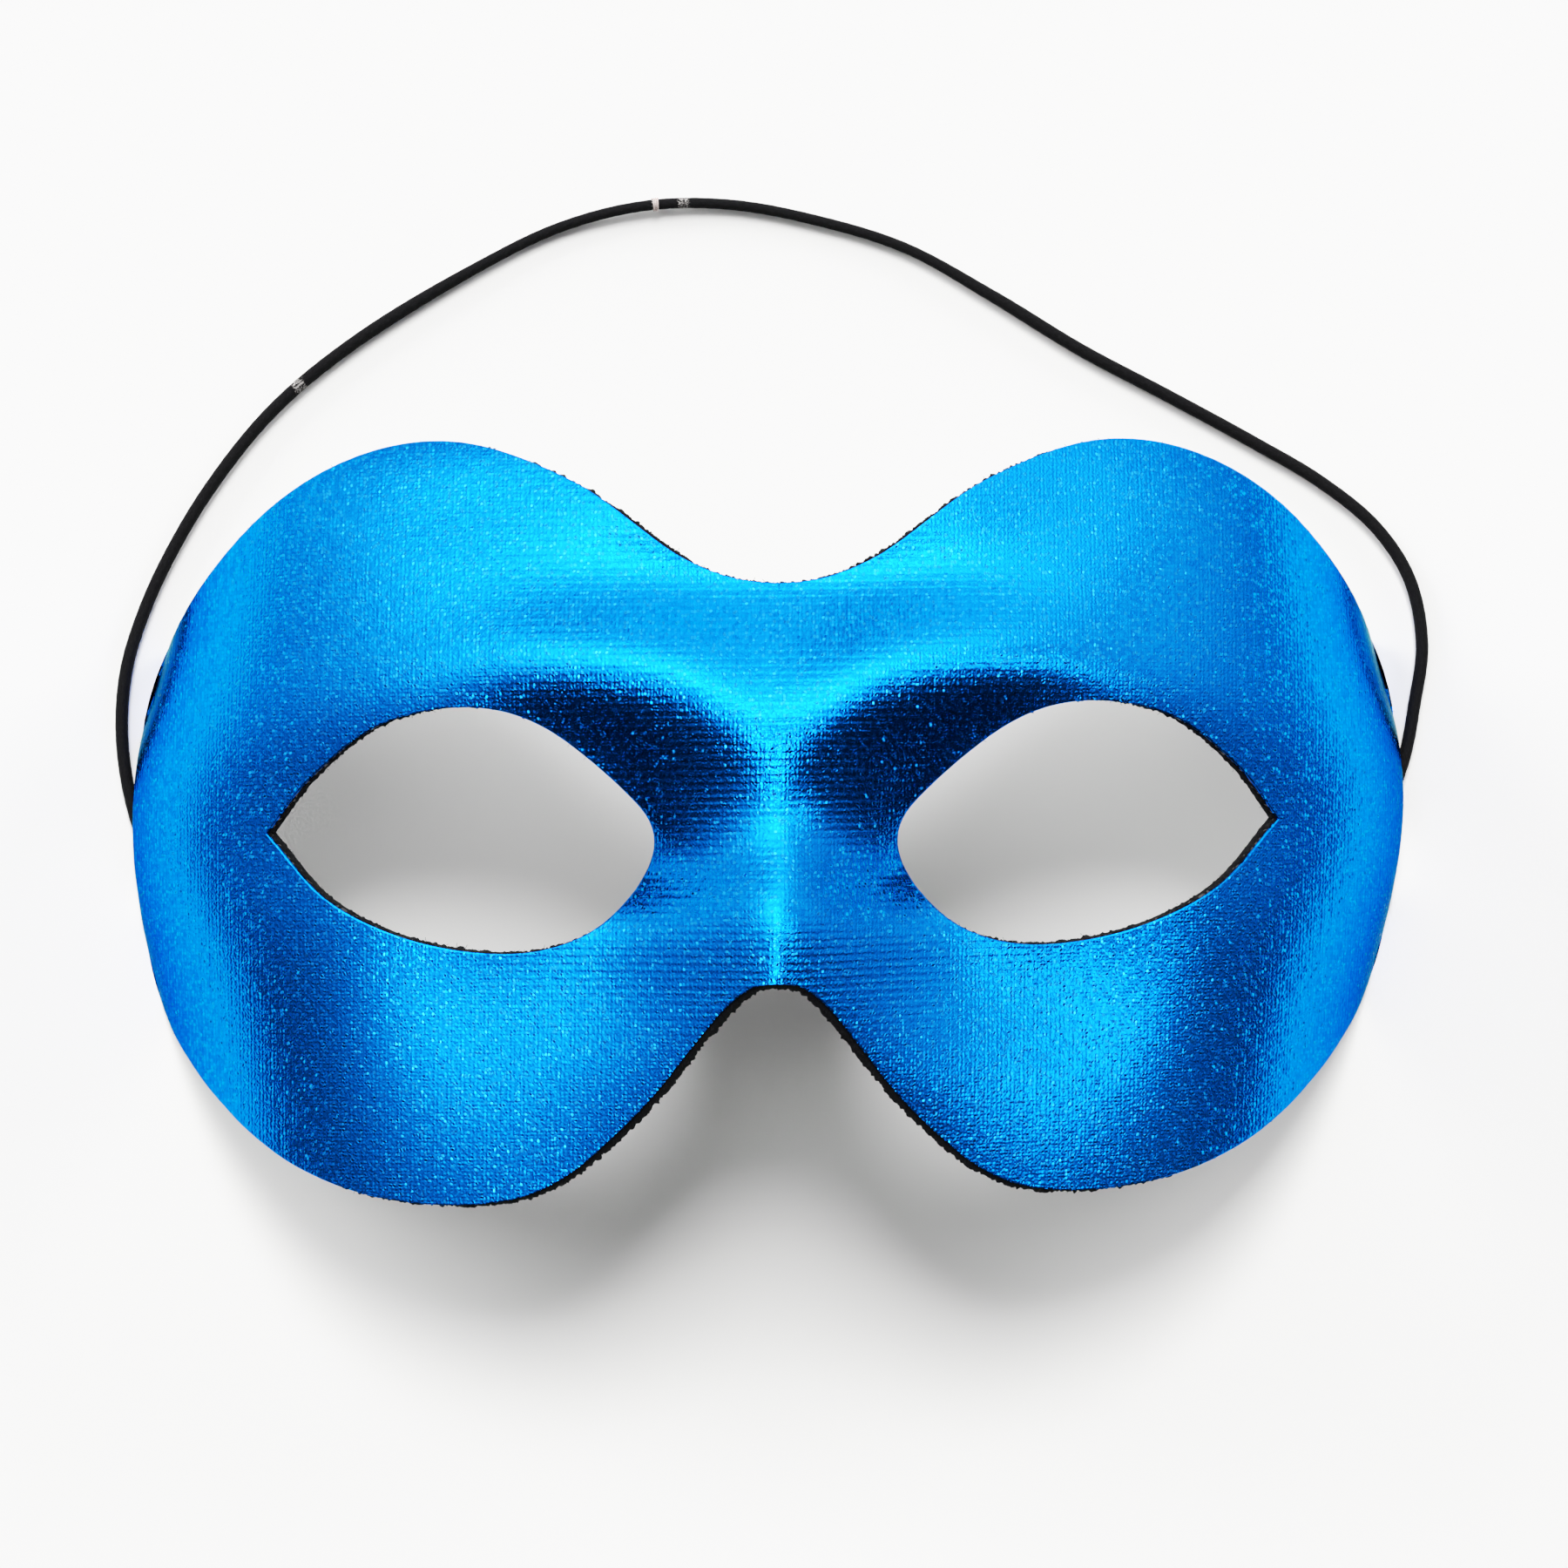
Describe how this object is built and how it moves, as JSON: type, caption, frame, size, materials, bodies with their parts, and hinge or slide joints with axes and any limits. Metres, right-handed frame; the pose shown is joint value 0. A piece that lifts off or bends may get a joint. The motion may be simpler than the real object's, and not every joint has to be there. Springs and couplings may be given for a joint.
{
  "type": "eye mask",
  "caption": "Half-face masquerade eye mask: a thin formed plastic shell under metallic blue knit cloth, felt lined, with a round elastic head cord.",
  "frame": {"origin": "on the table, under the middle of the mask's length and width, with the mask lying face up", "axes": "+X across the face to the right of a person looking at its front, +Y from the cheeks up to the brow, +Z out of the face, up from the table"},
  "size_m": [0.1813, 0.1356, 0.0486],
  "materials": {
    "face_cloth": "metallic foil-coated knit, satin glitter",
    "plastic_shell": "matt black, formed sheet",
    "felt": "black felt, fuzzy cut edge",
    "elastic": "black braided elastic",
    "thread": "pale thread"
  },
  "bodies": {
    "root": {"face_cloth": "face_cloth", "plastic_shell": "plastic_shell", "felt_lining": "felt", "cord_tab_left": "felt", "cord_tab_right": "felt", "elastic_cord": "elastic", "thread_ring": "thread"}
  },
  "joints": []
}
